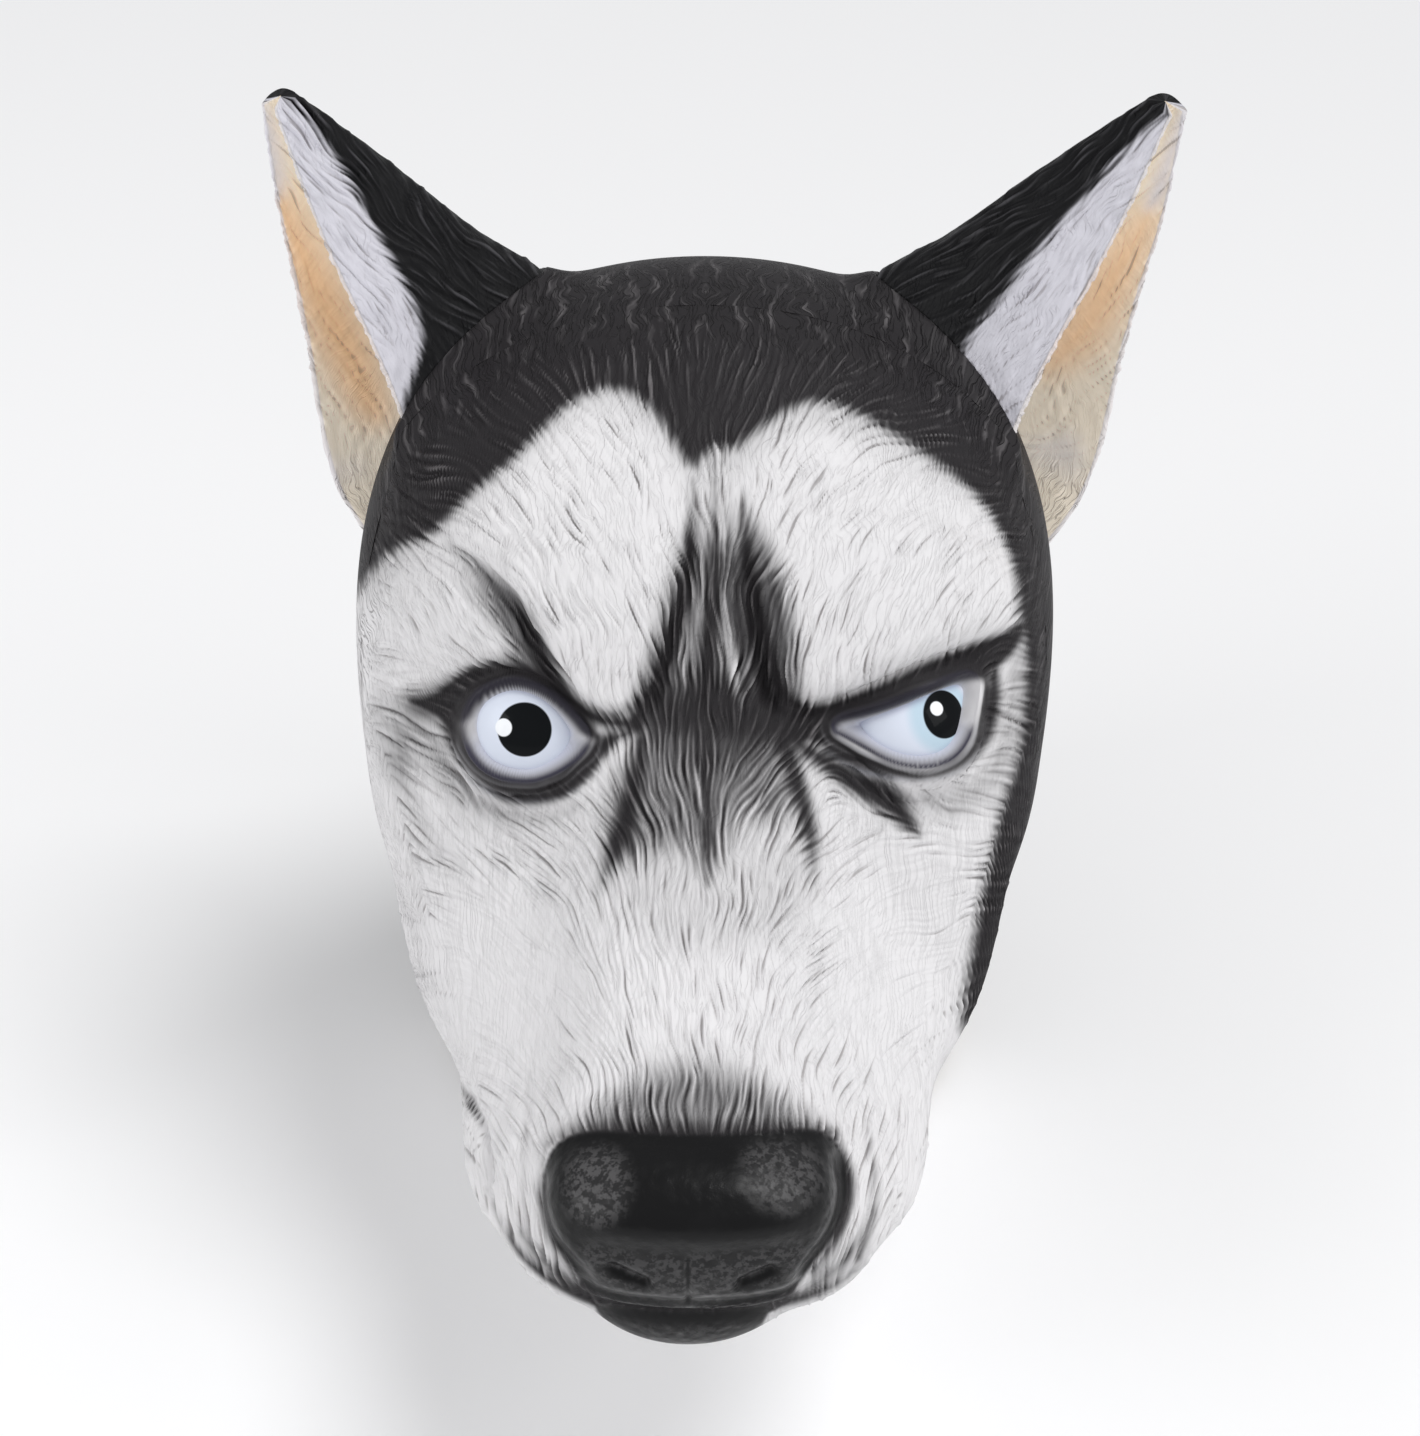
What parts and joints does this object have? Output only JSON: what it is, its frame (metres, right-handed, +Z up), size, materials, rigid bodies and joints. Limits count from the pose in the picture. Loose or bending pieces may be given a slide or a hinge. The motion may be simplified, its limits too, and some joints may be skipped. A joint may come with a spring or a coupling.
{
  "type": "latex animal mask",
  "caption": "Full-head husky dog mask: a hollow latex hood with a long muzzle, upright ears, scowling brows and glossy staring eyes, open at the neck.",
  "frame": {"origin": "the inside of the crown, at its highest point on the midline, where the wearer's head bears", "axes": "+Z up, the face looks along -Y, +X is the right of someone who looks at the face"},
  "size_m": [0.29, 0.3673, 0.3705],
  "materials": {
    "latex_skin": "matt painted latex with moulded fur, white face, black cap, nose and ears",
    "eye_gloss": "gloss lacquer over a painted white, pale blue and black eye"
  },
  "bodies": {
    "root": {"head_skin": "latex_skin", "right_eye": "eye_gloss", "left_eye": "eye_gloss"}
  },
  "joints": []
}
